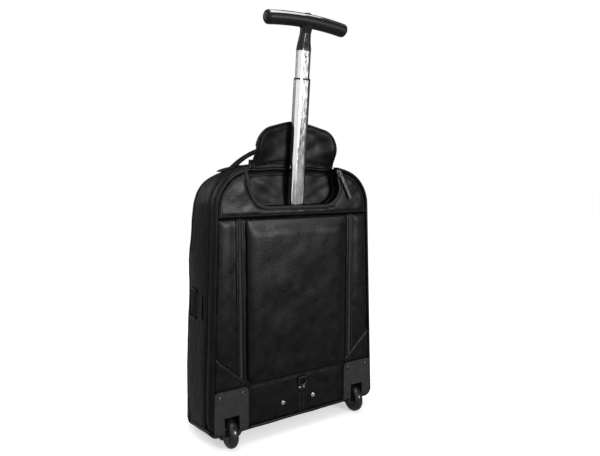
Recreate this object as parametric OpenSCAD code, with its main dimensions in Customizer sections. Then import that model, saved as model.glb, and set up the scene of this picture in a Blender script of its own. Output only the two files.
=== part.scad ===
// Two-wheeled leather rolling flight case with one telescopic pole and a T handle.
// Millimetres, +Z up, z = 0 on the ground. The back panel, which carries the wheels and
// the pole, faces +Y, the opening lid faces -Y, and x = 0 is the middle of the case.

/* [Case] */
// Width of the back panel at the height of the wheel housings
case_w = 330; // [324:1:336]
// Lean of each side of the back panel towards the middle, in degrees
side_taper = 2.2; // [1.8:0.1:2.6]
// Height at which the two top corners begin
shoulder_z = 402; // [398:1:406]
// Radius of the two top corners
corner_r = 68; // [64:1:72]
// Slope of the arched top where it meets the corners, in degrees
crown_angle = 13.6; // [12:0.2:15]
// Depth from the back panel to the front of the lid
case_depth = 138; // [136:1:144]
// Radius of the rounded edge round the front of the lid
front_r = 28; // [24:1:30]
// Thickness of the leather, foam and board walls
wall = 4; // [3:0.5:5]
// Height of the bottom edge at the back panel
base_back_z = 28; // [26:1:30]
// Height of the bottom edge at the front
base_front_z = 6; // [5:1:8]

/* [Back panel] */
// Height of the seam under the yoke
seam_z = 388; // [386:1:390]
// Width of the mouth that the pole comes out of
mouth_w = 180; // [176:2:184]
// Height of the lower lip of the mouth
mouth_z = 405; // [403:1:408]
// Half the width of the strap cover
cover_half_w = 101; // [98:1:102]
// Height of the loose lower edge of the strap cover
cover_z = 107; // [106:1:112]
// Height that the flap stands above its hinge
flap_h = 64; // [58:1:68]

/* [Pole] */
// Lean of the pole away from the front, in degrees
pole_lean = 6; // [5.8:0.1:6.3]
// Width of the guide tube, the outermost tube
guide_w = 31.6; // [31.6:0.1:32.4]
// Width of the middle tube
mid_w = 28; // [27.6:0.1:28]
// Depth of the middle tube
mid_d = 20; // [19.6:0.1:20]
// Width of the inner tube
inner_w = 24.4; // [24:0.1:24.4]
// Depth of the inner tube
inner_d = 16.4; // [16:0.1:16.4]
// Length of the T handle
grip_l = 156; // [148:2:160]

/* [Wheels] */
// Radius of the wheels
wheel_r = 25; // [24:0.5:26]
// Width of the tyres
wheel_w = 16; // [14:1:18]
// Radius of the axles
axle_r = 3; // [2.5:0.1:3]

/* [Hidden] */
$fn = 64;

// Colours
leather = [0.07, 0.07, 0.075];
lining = [0.03, 0.03, 0.035];
plastic = [0.16, 0.16, 0.17];
silver = [0.78, 0.79, 0.80];
steel = [0.62, 0.60, 0.58];
rubber = [0.12, 0.12, 0.13];

// The back panel's outer face lies at y = back_y, so the whole case is centred on y = 0
back_y = 62;
width_z = 94;
panel_t = 3.5;
band_y = -24;
gusset_y = -30;
lid_y = -106;
zip_w = 4;
base_r = 12;
lid_z = 62;
eps = 0.01;
case_lean = atan((base_back_z - base_front_z) / (case_depth - front_r));

// Points along an arc about [x, z]
function arc(x, z, r, from, to, steps = 8) = [
    for (i = [0 : steps])
        let (a = from + (to - from) * i / steps)
        [x + r * cos(a), z + r * sin(a)]
];
function half_w(z) = case_w / 2 - (z - width_z) * tan(side_taper);

// Top corner centre, crown radius and crown centre height
corner_x = half_w(shoulder_z + corner_r * sin(side_taper)) - corner_r * cos(side_taper);
crown_x = corner_x + corner_r * sin(crown_angle);
crown_r = crown_x / sin(crown_angle);
crown_z = shoulder_z + corner_r * cos(crown_angle) - crown_r * cos(crown_angle);
case_top = crown_z + crown_r;

// The arched outline of the case, seen from the back, moved inwards by inset
function right_side(inset, bottom, r) = concat(
    arc(half_w(bottom + base_r) - base_r, bottom + base_r, r, -90, side_taper, 5),
    arc(corner_x, shoulder_z, corner_r - inset, side_taper, 90 - crown_angle, 14),
    arc(0, crown_z, crown_r - inset, 90 - crown_angle, 90, 7)
);
function mirrored(points) = [
    for (i = [len(points) - 2 : -1 : 0]) [-points[i][0], points[i][1]]
];
function case_outline(inset = 0, bottom = base_back_z) =
    let (right = right_side(inset, bottom, max(base_r - inset, 1)))
    concat(right, mirrored(right));

// The side view of the case as [y, z] points: sloping bottom and rounded front edges
function side_profile(inset) = concat(
    [[1, 600], [1, base_back_z + inset]],
    arc(front_r - case_depth, base_front_z + front_r, front_r - inset, -90, -180, 8),
    [[inset - case_depth, 600]]
);
function slope_z(y) = base_back_z + y * tan(case_lean);

// The mouth of the handle pocket, a U that is open at the top, moved outwards by grow
// The soft top of the mouth sits a little to the left
function mouth_lean(z) = let (t = max(0, min(1, (z - 425) / 45))) 8 * t * t * (3 - 2 * t);

function mouth_outline(grow = 0, r = 34) = [
    for (p = concat(
        [for (z = [520, 470, 461, 452, 443]) [mouth_w / 2 + grow, z]],
        [for (i = [8 : -1 : 0]) let (a = i * 90 / 8 - 90)
            [mouth_w / 2 - r + (r + grow) * cos(a), mouth_z + r + (r + grow) * sin(a)]],
        [for (i = [8 : -1 : 0]) let (a = i * 90 / 8 - 180)
            [r - mouth_w / 2 + (r + grow) * cos(a), mouth_z + r + (r + grow) * sin(a)]],
        [for (z = [443, 452, 461, 470, 520]) [-mouth_w / 2 - grow, z]]
    )) [p[0] + mouth_lean(p[1]), p[1]]
];

// Places everything in the row frame: the modules below measure y from the back panel
module on_case() {
    translate([0, back_y, 0])
        children();
}

// A flat shape drawn in x and z, made solid from y = from to y = to
module slab(from, to) {
    translate([0, to, 0])
        rotate([90, 0, 0])
            linear_extrude(to - from)
                children();
}

// A flat shape drawn in y and z, made solid across the case from x = from to x = to
module across(from, to) {
    translate([from, 0, 0])
        rotate([90, 0, 90])
            linear_extrude(to - from)
                children();
}

module both_sides() {
    children();
    mirror([1, 0, 0])
        children();
}

module case_ring(outer, inner, bottom = -30) {
    difference() {
        polygon(case_outline(outer, bottom));
        polygon(case_outline(inner, bottom));
    }
}

// Everything above the sloping bottom, raised by lift
module above_base(lift) {
    across(-200, 200)
        polygon([
            [5, slope_z(5) + lift], [5, 600], [-case_depth - 5, 600],
            [-case_depth - 5, slope_z(-case_depth - 5) + lift]
        ]);
}

// The lid's outer form: the outline shrinks along a quarter circle towards the front
module rounded_front(inset, from = lid_y, bottom = -30) {
    steps = 5;
    r = front_r - inset;
    curve_y = front_r - case_depth;
    slab(curve_y - eps, from)
        polygon(case_outline(inset, bottom));
    for (i = [0 : steps - 1])
        hull()
            for (a = [i, i + 1] * 90 / steps)
                slab(curve_y - r * sin(a) - eps, curve_y - r * sin(a))
                    polygon(case_outline(inset + r * (1 - cos(a)), bottom));
}

// ---- Case ----

module back_panel() {
    color(leather)
        on_case()
            difference() {
                slab(-panel_t, 0)
                    intersection() {
                        polygon(case_outline(wall + eps));
                        translate([-200, 0])
                            square([400, seam_z]);
                    }
                both_sides() {
                    slab(-10, 1)
                        polygon(well_outline(0.3));
                    translate([screw_x, 1, screw_z])
                        rotate([90, 0, 0])
                            cylinder(r = 2.6, h = 20);
                    for (p = housing_screw_at)
                        translate([p[0], 1, p[1]])
                            rotate([90, 0, 0])
                                cylinder(r = 2.2, h = 20);
                }
            }
}

module back_yoke() {
    color(leather)
        on_case()
            difference() {
                slab(-panel_t, 0)
                    difference() {
                        intersection() {
                            polygon(case_outline(wall + eps));
                            translate([-200, seam_z])
                                square([400, 200]);
                        }
                        polygon(mouth_outline());
                    }
                pole_opening();
            }
}

// Corded edge round the back panel, open at the mouth and at the wheel housings
module back_piping() {
    color(leather)
        on_case()
            slab(-panel_t, 2)
                difference() {
                    case_ring(-1.5, wall, base_back_z);
                    polygon(mouth_outline());
                    both_sides()
                        translate([plate_x0 - 0.5, 0])
                            square([100, base_back_z + base_r]);
                }
}

// Padded ridge between the back panel and the zip of the rear compartment
module rear_band() {
    color(leather)
        on_case()
            intersection() {
                slab(band_y, -panel_t)
                    difference() {
                        case_ring(-2, 5);
                        polygon(mouth_outline());
                    }
                above_base(wall);
            }
}

module rear_zip() {
    color(lining)
        on_case()
            intersection() {
                slab(gusset_y, band_y)
                    case_ring(2.5, 6);
                above_base(wall);
            }
}

module gusset() {
    color(leather)
        on_case()
            intersection() {
                slab(lid_y, gusset_y)
                    case_ring(0, wall);
                above_base(wall);
            }
}

// Sloping bottom with the fixed lower part of the front
module base_tray() {
    color(leather)
        on_case()
            difference() {
                intersection() {
                    union() {
                        rounded_front(0);
                        slab(lid_y - 1, -panel_t)
                            polygon(case_outline(0, -30));
                    }
                    across(-200, 200)
                        polygon(side_profile(0));
                    across(-200, 200)
                        polygon([
                            [-panel_t, 0], [-panel_t, slope_z(-panel_t) + wall],
                            [lid_y - zip_w, slope_z(lid_y - zip_w) + wall],
                            [lid_y - zip_w, lid_z - 2], [-200, lid_z - 2], [-200, 0]
                        ]);
                }
                intersection() {
                    union() {
                        rounded_front(wall);
                        slab(lid_y - 1, -panel_t)
                            polygon(case_outline(wall, -30));
                    }
                    across(-200, 200)
                        polygon(side_profile(wall));
                }
                both_sides()
                    translate([well_x0 - 8, -44, 0])
                        cube([well_x1 - well_x0 + 16, 60, 80]);
            }
}

// Two low runners that the case stands on at the front
module front_feet() {
    color(plastic)
        on_case()
            both_sides()
                difference() {
                    across(86, 122)
                        polygon(concat(
                            [[-84, slope_z(-84)], [-116, slope_z(-110)]],
                            arc(-112, 4, 4, 180, 270, 6), arc(-88, 4, 4, 270, 360, 6)
                        ));
                    across(80, 130)
                        polygon(side_profile(0));
                }
}

board_y = -16;
board_t = 2;

// Lining board that covers the pole inside the case
module trolley_cover() {
    color(lining)
        pole_frame()
            translate([-146 - pole_x, board_y, -366])
                cube([292, board_t, 352]);
}

// Lined pocket that the T handle sinks into
module handle_pocket() {
    front = -27.5;
    skin = 1.5;
    color(lining)
        on_case()
            difference() {
                intersection() {
                    slab(front, -panel_t)
                        polygon(case_outline(6.5, 0));
                    slab(front, -panel_t)
                        polygon(mouth_outline(5));
                }
                slab(front + skin, 1)
                    polygon(mouth_outline(5 - skin));
                pole_opening();
            }
}

// Hole for the pole and its collar through the floor of the handle pocket
module pole_opening() {
    translate([0, -back_y, 0])
        pole_frame()
            translate([0, 0, -30])
                linear_extrude(60)
                    rounded(guide_w + 2.4, mid_d + 6, 11);
}

// Zip strips down both sides of the strap cover
module side_zips() {
    color(lining)
        on_case()
            both_sides()
                slab(0, 2)
                    polygon([
                        [cover_half_w + 1, patch_z(cover_half_w + 1)],
                        [cover_half_w + 18, patch_z(cover_half_w + 18)],
                        [cover_half_w + 18, seam_z], [cover_half_w + 1, seam_z]
                    ]);
}

// Height of the slanting top edge of the corner patches
function patch_z(x) = 120 + (x - 109) * 0.89;

module corner_patches() {
    color(leather)
        on_case()
            both_sides()
                slab(0, 1.6)
                    intersection() {
                        polygon(case_outline(wall + 0.3));
                        polygon([
                            [cover_half_w + 0.6, plate_z1 + 0.3], [cover_half_w + 0.6, patch_z(100)],
                            [180, patch_z(180)], [180, plate_z1 + 0.3]
                        ]);
                    }
}

strap_x = -6.5;
loop_z = 98.5;
loop_y = 5;
ring_bar_r = 1.8;

// Short strap that holds the D ring under the strap cover
module ring_strap() {
    color(leather)
        on_case()
            difference() {
                union() {
                    translate([strap_x - 8, 0, base_back_z + wall + 1])
                        cube([16, 2.6, loop_z - base_back_z - wall - 1]);
                    translate([strap_x - 6, loop_y, loop_z])
                        rotate([0, 90, 0])
                            cylinder(r = 4.2, h = 12);
                    translate([strap_x - 6, 0, loop_z - 2.2])
                        cube([12, loop_y, 4.4]);
                }
                translate([strap_x - 20, loop_y, loop_z])
                    rotate([0, 90, 0])
                        cylinder(r = ring_bar_r + 0.06, h = 40);
            }
}

module strap_rivets() {
    color(steel)
        on_case()
            for (x = [-4, 4])
                translate([strap_x + x, 2.6, 79])
                    rotate([-90, 0, 0])
                        cylinder(r1 = 2.4, r2 = 1.5, h = 1.3);
}

screw_x = 31.6;
screw_z = 58;

// Two bright screws that hold the foot of the pole to the back panel
module bracket_screws() {
    color(silver)
        on_case()
            for (side = [-1, 1])
                translate([side * screw_x, 0, screw_z])
                    rotate([-90, 0, 0])
                        rotate_extrude()
                            polygon(concat(
                                [[0, -10], [2.5, -10], [2.5, 0], [4.6, 0], [4.6, 0.6]],
                                [for (a = [15 : 15 : 90]) [4.6 * cos(a), 0.6 + 2 * sin(a)]]
                            ));
}

// Bracket that ties the foot of the guide tube to the back panel
module foot_bracket() {
    color(plastic)
        on_case()
            difference() {
                union() {
                    translate([-44, -panel_t - 3, 44])
                        cube([88, 3, 26]);
                    translate([pole_x - 24, -76, 40])
                        cube([48, 76 - panel_t - 1, 30]);
                }
                translate([0, -back_y, 0])
                    pole_frame() {
                        translate([0, 0, guide_s0])
                            linear_extrude(100)
                                rounded(guide_w, guide_d, 9.5);
                        translate([-60, -80, -400])
                            cube([120, 80 + board_y + board_t + 0.02, 500]);
                    }
                both_sides()
                    translate([screw_x, 1, screw_z])
                        rotate([90, 0, 0])
                            cylinder(r = 2.5, h = 20);
            }
}

// ---- Pole, drawn along its own axis: s = 0 is at the lower lip of the mouth ----

pole_x = -3.5;
pole_y = -15;
pole_z = 407;
guide_d = mid_d + guide_w - mid_w;
guide_s0 = -364;
guide_s1 = -8;
mid_s0 = -123;
mid_s1 = 211;
inner_s0 = -48;
neck_s = 258;
grip_s = 305;
grip_y = 5.5;
rod_y = 3;
tube_gap = 0.3;

module pole_frame() {
    translate([pole_x, back_y + pole_y, pole_z])
        rotate([-pole_lean, 0, 0])
            children();
}

module rounded(w, d, r) {
    square([w - 2 * r, d], center = true);
    square([w, d - 2 * r], center = true);
    for (x = [-1, 1], y = [-1, 1])
        translate([x * (w / 2 - r), y * (d / 2 - r)])
            circle(r);
}

module tube(w, d, r, inner_w, inner_d, from, to) {
    translate([0, 0, from])
        linear_extrude(to - from)
            difference() {
                rounded(w, d, r);
                rounded(inner_w, inner_d, r - (w - inner_w) / 2);
            }
}

module guide_tube() {
    color(silver)
        pole_frame()
            tube(guide_w, guide_d, 9.5, mid_w + 2 * tube_gap, mid_d + 2 * tube_gap,
                guide_s0, guide_s1);
}

module guide_collar() {
    color(plastic)
        pole_frame() {
            tube(guide_w + 2, guide_d + 2, 10.5, guide_w, guide_d, guide_s1 - 14, guide_s1);
            tube(guide_w + 2, guide_d + 2, 10.5, mid_w + 0.5, mid_d + 0.5, guide_s1,
                guide_s1 + 3);
        }
}

mid_hole_s = [196, 184, 158, 66];

module mid_tube() {
    color(silver)
        pole_frame()
            difference() {
                tube(mid_w, mid_d, 8, inner_w + 2 * tube_gap, inner_d + 2 * tube_gap,
                    mid_s0, mid_s1);
                for (s = mid_hole_s)
                    translate([0, 0, s])
                        rotate([0, 90, 0])
                            cylinder(r = 2.2, h = mid_w, $fn = 32);
            }
}

module mid_collar() {
    color(plastic)
        pole_frame()
            tube(mid_w, mid_d, 8, inner_w + 0.5, inner_d + 0.5, mid_s1, mid_s1 + 3);
}

module mid_glide() {
    color(plastic)
        pole_frame()
            tube(mid_w + 0.3, mid_d + 0.3, 8.15, inner_w + 0.6, inner_d + 0.6,
                mid_s0 - 14, mid_s0);
}

module inner_tube() {
    wall_t = 1.3;
    color(silver)
        pole_frame()
            difference() {
                tube(inner_w, inner_d, 6.4, inner_w - 2 * wall_t, inner_d - 2 * wall_t,
                    inner_s0, neck_s);
                for (s = [240.4, 248.6])
                    translate([0, 0, s])
                        rotate([-90, 0, 0])
                            cylinder(r = 1.6, h = inner_d, $fn = 32);
            }
}

module inner_glide() {
    color(plastic)
        pole_frame()
            translate([0, 0, inner_s0 - 10])
                linear_extrude(10)
                    rounded(inner_w, inner_d, 6.4);
}

// Neck that narrows above the inner tube and bends back into the T handle
module handle_neck() {
    neck = [
        [0, 12.4, 8.6, 0], [3, 12.6, 8.8, 0], [15, 10.6, 8, 0.2], [27, 9, 7.6, 2.4],
        [35, 9.8, 7.8, 4.4], [41, 14, 9, 5.5]
    ];
    color(plastic)
        pole_frame()
            difference() {
                translate([0, 0, neck_s])
                    for (i = [0 : len(neck) - 2])
                        hull()
                            for (n = [neck[i], neck[i + 1]])
                                translate([0, n[3], n[0]])
                                    linear_extrude(eps)
                                        rounded(2 * n[1], 2 * n[2], n[2] - 1.5, $fn = 32);
                rod_hole();
                grip_bar(30, -20, 20, -0.02);
            }
}

grip_r = 11;
grip_d = 12;
rod_r = 2.5;
// Radius of the slight bow along the grip
bow_r = 540;

module rod_hole() {
    translate([0, rod_y, 0])
        cylinder(r = rod_r + 0.5, h = 400);
}

// Frame at a point along the bowed axis of the grip
module grip_frame(along = 0) {
    translate([0, grip_y, grip_s - bow_r])
        rotate([0, along / bow_r * 180 / PI, 0])
            translate([0, 0, bow_r])
                children();
}

// Cross-section of the grip as [along the pole, across the pole]
function grip_section(shrink = 0) = [
    for (a = [0 : 12 : 348])
        [(grip_r - shrink) * sin(a), (grip_d - shrink) * cos(a)]
];

// Part of the bowed bar between two heights of its section
module grip_bar(half_l, from, to, shrink = 0) {
    half_a = half_l / bow_r * 180 / PI;
    translate([0, grip_y, grip_s - bow_r])
        rotate([90, 0, 0])
            rotate([0, 0, 90 - half_a])
                rotate_extrude(angle = 2 * half_a)
                    intersection() {
                        translate([bow_r, 0])
                            polygon(grip_section(shrink));
                        translate([bow_r + from, -20])
                            square([to - from, 40]);
                    }
}

// Height above the grip's axis where the bright trim begins
trim_s = 5;

module button_hole() {
    grip_frame()
        translate([0, 0, -4])
            cylinder(r = button_r + 0.4, h = 40);
}

module handle_grip() {
    color(rubber)
        pole_frame()
            difference() {
                grip_bar(grip_l / 2 - 6, -20, trim_s);
                rod_hole();
                button_hole();
            }
}

// Bright strip along the top of the grip
module handle_trim() {
    color(silver)
        pole_frame()
            difference() {
                grip_bar(grip_l / 2 - 6, trim_s, 20);
                button_hole();
            }
}

module grip_caps() {
    color(rubber)
        pole_frame()
            for (side = [-1, 1])
                for (i = [0 : 2])
                    hull()
                        for (a = [i, i + 1] * 28)
                            grip_frame(side * (grip_l / 2 - 6))
                                translate([side * 6 * sin(a), 0, 0])
                                    rotate([0, 90, 0])
                                        translate([0, 0, -eps / 2])
                                            linear_extrude(eps)
                                                polygon(grip_section(8 * (1 - cos(a))));
}

button_r = 7;

// Thumb button in the top of the grip
module release_button() {
    color(plastic)
        pole_frame()
            grip_frame()
                rotate_extrude()
                    polygon([
                        [0, 2], [button_r, 2], [button_r, 10.6], [button_r - 1, 11.4],
                        [button_r - 3, 11.8], [0, 12]
                    ]);
}

// Rod that runs down inside the inner tube from the button to the lock
module release_rod() {
    color(steel)
        pole_frame()
            translate([0, rod_y, inner_s0 + 8])
                cylinder(r = rod_r, h = grip_s + 2 - inner_s0 - 8);
}

// ---- Wheels ----

plate_x0 = 100;
plate_z1 = 104;
plate_t = 3;
well_x0 = 114;
well_x1 = 147;
well_z1 = 61;
well_y = -38;
wheel_x = (well_x0 + well_x1) / 2;
wheel_y = -8;
boss_l = (well_x1 - well_x0 - 6 - wheel_w) / 2 - 0.3;
housing_screw_at = [[109.5, 94], [151, 94]];

function well_outline(grow = 0) = [
    [well_x0 - grow, 0], [well_x1 + grow, 0], [well_x1 + grow, well_z1 + grow],
    [well_x0 - grow, well_z1 + grow]
];

// Moulded corner plate with the well and the two ears that carry the axle
module housing() {
    difference() {
        union() {
            slab(0, plate_t)
                intersection() {
                    polygon(case_outline(wall + 0.3));
                    difference() {
                        translate([(plate_x0 + 190) / 2, (base_back_z + plate_z1) / 2])
                            rounded(190 - plate_x0, plate_z1 - base_back_z, 9);
                        translate([well_x0 + 3, 0])
                            square([well_x1 - well_x0 - 6, well_z1 - 3]);
                    }
                    polygon(concat(
                        [[0, 0], [200, 0]],
                        arc(154.5, 94.5, 9.5, 0, 90, 6),
                        [[0, 104]]
                    ));
                }
            difference() {
                slab(well_y, 0)
                    polygon([
                        [well_x0, base_back_z], [well_x1, base_back_z],
                        [well_x1, well_z1], [well_x0, well_z1]
                    ]);
                slab(well_y + 3, 1)
                    translate([well_x0 + 3, 0])
                        square([well_x1 - well_x0 - 6, well_z1 - 3]);
            }
            for (x = [well_x0, well_x1 - 3])
                across(x, x + 3) {
                    translate([wheel_y, wheel_r])
                        circle(8);
                    translate([wheel_y - 8, wheel_r])
                        square([16, 12]);
                }
            for (x = [well_x0 + 3 - eps, well_x1 - 3 - boss_l])
                across(x, x + boss_l + eps)
                    translate([wheel_y, wheel_r])
                        circle(5.5);
        }
        across(80, 180)
            translate([wheel_y, wheel_r])
                circle(axle_r + 0.05);
        for (p = housing_screw_at)
            translate([p[0], 10, p[1]])
                rotate([90, 0, 0])
                    cylinder(r = 2.2, h = 20);
    }
}

module left_housing() {
    color(plastic)
        on_case()
            housing();
}

module right_housing() {
    color(plastic)
        on_case()
            mirror([1, 0, 0])
                housing();
}

module housing_screws() {
    color(steel)
        on_case()
            both_sides()
                for (p = housing_screw_at)
                    translate([p[0], plate_t, p[1]])
                        rotate([-90, 0, 0])
                            difference() {
                                union() {
                                    translate([0, 0, -9])
                                        cylinder(r = 2.1, h = 10);
                                    cylinder(r = 5, h = 0.8);
                                    translate([0, 0, 0.8])
                                        cylinder(r1 = 3.6, r2 = 2.6, h = 1.6);
                                }
                                translate([0, 0, 1.4])
                                    cylinder(r = 1.3, h = 3, $fn = 6);
                            }
}

// Axle bolt with its head on the outside and its nut towards the middle of the case
module axle() {
    color(steel)
        on_case()
            across(well_x0 - 5, well_x1 + 0.2)
                translate([wheel_y, wheel_r])
                    circle(axle_r);
    color(steel)
        on_case() {
            across(well_x1, well_x1 + 2.6)
                translate([wheel_y, wheel_r])
                    circle(5.4);
            across(well_x0 - 3.4, well_x0)
                difference() {
                    translate([wheel_y, wheel_r])
                        circle(5.4, $fn = 6);
                    translate([wheel_y, wheel_r])
                        circle(axle_r);
                }
        }
}

module left_axle() {
    axle();
}

module right_axle() {
    mirror([1, 0, 0])
        axle();
}

bearing_r = 8;
bearing_w = 5;
rim_r = 15;

// Centres a wheel part, drawn about the z axis, in the left wheel well
module at_wheel() {
    on_case()
        translate([wheel_x, wheel_y, wheel_r])
            rotate([0, 90, 0])
                children();
}

module tyre() {
    color(rubber)
        at_wheel()
            rotate_extrude()
                polygon(concat(
                    [[rim_r, wheel_w / 2 - 1], [rim_r, 1 - wheel_w / 2]],
                    arc(wheel_r - 7, 1 - wheel_w / 2 + 6, 7, -90, 0, 6),
                    arc(wheel_r - 7, wheel_w / 2 - 7, 7, 0, 90, 6)
                ));
}

module hub() {
    color(plastic)
        at_wheel()
            difference() {
                translate([0, 0, -wheel_w / 2])
                    cylinder(r = rim_r, h = wheel_w);
                translate([0, 0, -wheel_w])
                    cylinder(r = 5, h = 2 * wheel_w);
                for (z = [-wheel_w / 2 - 1, wheel_w / 2 - bearing_w])
                    translate([0, 0, z])
                        cylinder(r = bearing_r, h = bearing_w + 1);
            }
}

module bearings() {
    color(steel)
        at_wheel()
            for (z = [-wheel_w / 2, wheel_w / 2 - bearing_w])
                translate([0, 0, z])
                    difference() {
                        cylinder(r = bearing_r, h = bearing_w);
                        translate([0, 0, -1])
                            cylinder(r = axle_r + 0.06, h = bearing_w + 2);
                    }
}

module left_tyre() {
    tyre();
}

module right_tyre() {
    mirror([1, 0, 0])
        tyre();
}

module left_hub() {
    hub();
}

module right_hub() {
    mirror([1, 0, 0])
        hub();
}

module left_bearings() {
    bearings();
}

module right_bearings() {
    mirror([1, 0, 0])
        bearings();
}

// ---- Handles, tabs and rings ----

handle_y = [-82, -58];
handle_rise = 512;
handle_half_w = 98;
handle_t = 6;
handle_r = (pow(handle_half_w, 2) + pow(handle_rise - 470, 2)) / (2 * (handle_rise - 470));

// Arched carry handle on the top of the case
module top_handle() {
    color(leather)
        on_case()
            slab(handle_y[0], handle_y[1])
                difference() {
                    translate([0, handle_rise - handle_r])
                        difference() {
                            circle(handle_r, $fn = 96);
                            circle(handle_r - handle_t, $fn = 96);
                        }
                    polygon(case_outline(-3, -100));
                    translate([-200, -200])
                        square([400, 600]);
                }
}

module handle_anchors() {
    color(leather)
        on_case()
            slab(handle_y[0] - 3, handle_y[1] + 3)
                intersection() {
                    case_ring(-3, 0);
                    both_sides()
                        translate([80, 400])
                            square([34, 100]);
                }
}

tab_z = 212;
tab_h = 50;
tab_y = -72;
ring_l = 25;
bar_r = 1.6;
tab_off = 4.2;

// Puts x = 0 on the leather of the sloping left side, with the ring's pin near y = 0
module on_left_side() {
    on_case()
        translate([half_w(tab_z), tab_y, tab_z])
            rotate([0, -side_taper, 0])
                children();
}

module side_tab() {
    difference() {
        union() {
            translate([0.03, 0, 3])
                cube([3, 30, tab_h - 6]);
            translate([tab_off, 0, 8])
                cylinder(r = 4, h = tab_h - 16);
            translate([0.03, -3, 8])
                cube([tab_off, 6, tab_h - 16]);
        }
        translate([tab_off, 0, -10])
            cylinder(r = bar_r + 0.06, h = tab_h + 20);
    }
}

// Rectangular ring of round wire whose back bar turns in the tab
module side_ring() {
    for (y = [0, -ring_l])
        translate([tab_off, y, 0])
            cylinder(r = bar_r, h = tab_h);
    for (z = [0, tab_h])
        translate([tab_off, 0, z])
            rotate([90, 0, 0])
                cylinder(r = bar_r, h = ring_l);
    for (y = [0, -ring_l], z = [0, tab_h])
        translate([tab_off, y, z])
            sphere(r = bar_r);
}

module left_side_tab() {
    color(leather)
        on_left_side()
            side_tab();
}

module right_side_tab() {
    color(leather)
        mirror([1, 0, 0])
            on_left_side()
                side_tab();
}

module left_ring() {
    color(plastic)
        on_left_side()
            side_ring();
}

module right_ring() {
    color(plastic)
        mirror([1, 0, 0])
            on_left_side()
                side_ring();
}

// D ring that hangs from its straight bar in the ring strap
module d_ring() {
    half = 8;
    drop = 7;
    color(plastic)
        on_case()
            translate([strap_x, loop_y, loop_z]) {
                translate([-half, 0, 0])
                    rotate([0, 90, 0])
                        cylinder(r = ring_bar_r, h = 2 * half);
                for (x = [-half, half])
                    translate([x, 0, -drop])
                        cylinder(r = ring_bar_r, h = drop);
                for (x = [-half, half])
                    translate([x, 0, 0])
                        sphere(r = ring_bar_r);
                translate([0, 0, -drop])
                    rotate([-90, 0, 0])
                        rotate_extrude(angle = 180)
                            translate([half, 0])
                                circle(ring_bar_r);
            }
}

// ---- Zips ----

// Corded zip round the mouth of the handle pocket
module mouth_zip() {
    color(lining)
        on_case()
            slab(0, 2.4)
                intersection() {
                    difference() {
                        polygon(mouth_outline(5));
                        polygon(mouth_outline());
                    }
                    polygon(case_outline(wall + 0.5));
                }
}

module zip_slider(width = 8) {
    difference() {
        union() {
            translate([-width / 2, -5.5, 0])
                cube([width, 11, 2.4]);
            translate([-1.6, -3, 2.4])
                cube([3.2, 6, 3]);
        }
        translate([-5, 0, 3.7])
            rotate([0, 90, 0])
                cylinder(r = 0.96, h = 10, $fn = 32);
    }
}

// A pull that lies along -y from its pin, with its eye round the slider's bridge
module zip_pull(length) {
    translate([-2.6, 0, 3.7])
        rotate([0, 90, 0])
            cylinder(r = 0.9, h = 5.2, $fn = 32);
    for (x = [-2.6, 1.8])
        translate([x, -6, 2.9])
            cube([0.8, 6.6, 1.6]);
    translate([-2.6, -length, 2.9])
        cube([5.2, length - 5, 1.6]);
}

mouth_slider_at = [mouth_lean(462) - mouth_w / 2 - 2.4, 2.4, 462];
mouth_pull_turn = 28;

// Lies on the back face, turned so that the pull points down and away from the mouth
module at_mouth_slider() {
    on_case()
        translate(mouth_slider_at)
            rotate([0, mouth_pull_turn, 0])
                mirror([0, 1, 0])
                    rotate([90, 0, 0])
                        children();
}

// Zip between the gusset and the lid
module lid_zip() {
    color(lining)
        on_case()
            intersection() {
                slab(lid_y - zip_w, lid_y)
                    case_ring(1.5, 5.5);
                translate([-200, -200, lid_z])
                    cube([400, 400, 600]);
            }
}

side_slider_z = 150;
rear_slider_y = (band_y + gusset_y) / 2;
lid_slider_y = lid_y - zip_w / 2;

// Lies on the right side of the case at a given depth, with its pull hanging down
module at_side_slider(y, inset) {
    on_case()
        translate([-half_w(side_slider_z) + inset, y, side_slider_z])
            rotate([0, side_taper, 0])
                rotate([90, 0, -90])
                    children();
}

// The sliders of the mouth zip, the rear zip and the lid zip
module zip_sliders() {
    color(steel) {
        at_mouth_slider()
            zip_slider();
        at_side_slider(rear_slider_y, 2.4)
            zip_slider(5.6);
        at_side_slider(lid_slider_y, 1.4)
            zip_slider(3.6);
    }
}

module mouth_pull() {
    color(steel)
        at_mouth_slider()
            zip_pull(52);
}

module rear_pull() {
    color(steel)
        at_side_slider(rear_slider_y, 2.4)
            zip_pull(34);
}

module lid_pull() {
    color(steel)
        at_side_slider(lid_slider_y, 1.4)
            zip_pull(34);
}

// ---- Flap, strap cover and lid ----

flap_x = -4;
flap_half_w = 83;
flap_t = 4;
flap_y = -20.8;
flap_z = 483;

// Domed flap that covers the retracted handle, standing open beside the pole
module handle_flap() {
    r = 32;
    shoulder = flap_half_w - 3;
    color(leather)
        on_case()
            translate([flap_x, flap_y, flap_z])
                rotate([-pole_lean, 0, 0])
                    slab(-flap_t / 2, flap_t / 2)
                        polygon(concat(
                            arc(shoulder - r, flap_h - r - 9, r, 6, 70, 8),
                            [[0, flap_h]],
                            arc(r - shoulder, flap_h - r - 9, r, 110, 174, 8),
                            [[-flap_half_w, -2.5], [flap_half_w, -2.5]]
                        ));
}

// Padded cover over the stowed shoulder straps, sewn along its top edge
module strap_cover() {
    r = 14;
    color(leather)
        on_case()
            slab(0.6, 7.6)
                polygon(concat(
                    [[cover_half_w, seam_z - 2], [-cover_half_w, seam_z - 2]],
                    arc(r - cover_half_w, cover_z + r, r, 180, 270, 6),
                    arc(cover_half_w - r, cover_z + r, r, 270, 360, 6)
                ));
}

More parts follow.
